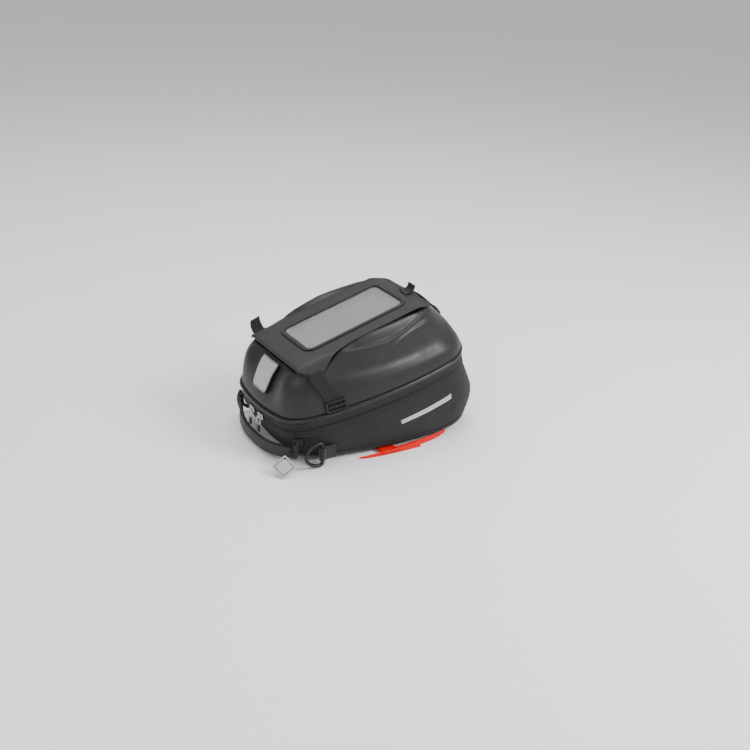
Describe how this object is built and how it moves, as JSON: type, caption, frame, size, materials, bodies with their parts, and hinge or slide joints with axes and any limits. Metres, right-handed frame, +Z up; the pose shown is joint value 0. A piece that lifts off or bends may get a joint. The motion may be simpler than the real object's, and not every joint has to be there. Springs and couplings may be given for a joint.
{
  "type": "motorcycle tank bag",
  "caption": "Domed zip-up bag that locks onto a fuel tank ring; moulded lid with a phone window, rear carry handle, D-rings and a red release tape.",
  "frame": {"origin": "on the axis of the round lock socket in the bag's underside, at the socket's ceiling", "axes": "+X towards the bag's front, +Y towards its left side, +Z up; the socket opens towards -Z"},
  "size_m": [0.3196, 0.2065, 0.1792],
  "materials": {
    "eva_lid": "thermoformed foam shell with a satin skin",
    "wall_fabric": "heavy woven polyester, matt",
    "base_fabric": "coated woven polyester",
    "piping": "satin extruded bead",
    "zip_coil": "nylon coil",
    "webbing": "ribbed webbing",
    "rubber_trim": "moulded, satin",
    "black_plastic": "moulded nylon, fine texture",
    "stiffener_board": "plain sheet",
    "holder_sheet": "smooth coated sheet, matt",
    "clear_film": "clear flexible film",
    "reflective": "silver reflective face",
    "nickel": "nickel plated",
    "steel": "plain",
    "red_tape": "woven tape"
  },
  "bodies": {
    "bag": {"side_wall": "wall_fabric", "bottom_panel": "base_fabric", "base_plate": "stiffener_board", "lock_flange": "black_plastic", "lock_retainer": "black_plastic", "lock_screw_1": "steel", "lock_screw_2": "steel", "lock_screw_3": "steel", "lock_screw_4": "steel", "latch_guide": "black_plastic", "latch_spring": "steel", "zip_tape_lower": "wall_fabric", "zip_coil_lower": "zip_coil", "lid_hinge_strip": "base_fabric", "handle_anchor_right": "webbing", "handle_anchor_left": "webbing", "d_ring_tab_right": "webbing", "d_ring_tab_left": "webbing"},
    "lid": {"lid_shell": "eva_lid", "lid_piping": "piping", "zip_tape_upper": "wall_fabric", "zip_coil_upper": "zip_coil", "holder_sheet": "holder_sheet", "window_frame": "rubber_trim", "window_film": "clear_film", "strap_rear_right": "webbing", "strap_rear_left": "webbing", "strap_front": "webbing", "loop_lock_rear_right": "black_plastic", "loop_lock_rear_left": "black_plastic", "loop_lock_front": "black_plastic", "lock_tab_rear_right": "webbing", "lock_tab_rear_left": "webbing", "lock_tab_front": "webbing", "rear_badge": "reflective"},
    "slider_body_right": {"slider_right": "nickel"},
    "slider_body_left": {"slider_left": "nickel"},
    "pull_right": {"pull_wire_right": "nickel", "pull_tab_right": "webbing"},
    "pull_left": {"pull_wire_left": "nickel", "pull_tab_left": "webbing"},
    "handle": {"handle_grip": "rubber_trim", "handle_end_right": "webbing", "handle_end_left": "webbing"},
    "tag": {"hang_tag": "reflective"},
    "ring_right": {"d_ring_right": "black_plastic"},
    "ring_left": {"d_ring_left": "black_plastic"},
    "release": {"latch": "black_plastic", "release_tape": "red_tape"}
  },
  "joints": [
    {"name": "lid_hinge", "type": "hinge", "parent": "bag", "child": "lid", "pos_m": [0.14849, 0, 0.08492], "axis": [0, 1, 0], "range_deg": [0, 95]},
    {"name": "slider_right_run", "type": "hinge", "parent": "bag", "child": "slider_body_right", "pos_m": [0.1047, 0, 0.07593], "axis": [-0.2011, 0, 0.9796], "range_deg": [-1, 6]},
    {"name": "slider_left_run", "type": "hinge", "parent": "bag", "child": "slider_body_left", "pos_m": [0.1047, 0, 0.07593], "axis": [-0.2011, 0, 0.9796], "range_deg": [-6, 1]},
    {"name": "pull_right_swing", "type": "hinge", "parent": "slider_body_right", "child": "pull_right", "pos_m": [-0.1434, -0.01061, 0.025], "axis": [-0.041, 0.9991, -0.0084], "range_deg": [-4, 110]},
    {"name": "pull_left_swing", "type": "hinge", "parent": "slider_body_left", "child": "pull_left", "pos_m": [-0.14328, 0.01327, 0.02503], "axis": [0.0513, 0.9986, 0.0105], "range_deg": [-4, 110]},
    {"name": "handle_swing", "type": "hinge", "parent": "bag", "child": "handle", "pos_m": [-0.12435, 0, 0.01449], "axis": [0, 1, 0], "range_deg": [0, 55]},
    {"name": "tag_swing", "type": "hinge", "parent": "handle", "child": "tag", "pos_m": [-0.1402, -0.0776, 0.0018], "axis": [-0.8434, 0.5373, 0], "range_deg": [-15, 60]},
    {"name": "ring_right_swing", "type": "hinge", "parent": "bag", "child": "ring_right", "pos_m": [-0.095, -0.0915, -0.001], "axis": [0, 0, 1], "range_deg": [-5, 100]},
    {"name": "ring_left_swing", "type": "hinge", "parent": "bag", "child": "ring_left", "pos_m": [-0.095, 0.0915, -0.001], "axis": [0, 0, -1], "range_deg": [-5, 100]},
    {"name": "latch_slide", "type": "slide", "parent": "bag", "child": "release", "axis": [0, -1, 0], "range_m": [0, 0.007], "stiffness_N_per_m": 600, "springref_m": -0.004, "deforming": ["latch_spring"]}
  ]
}
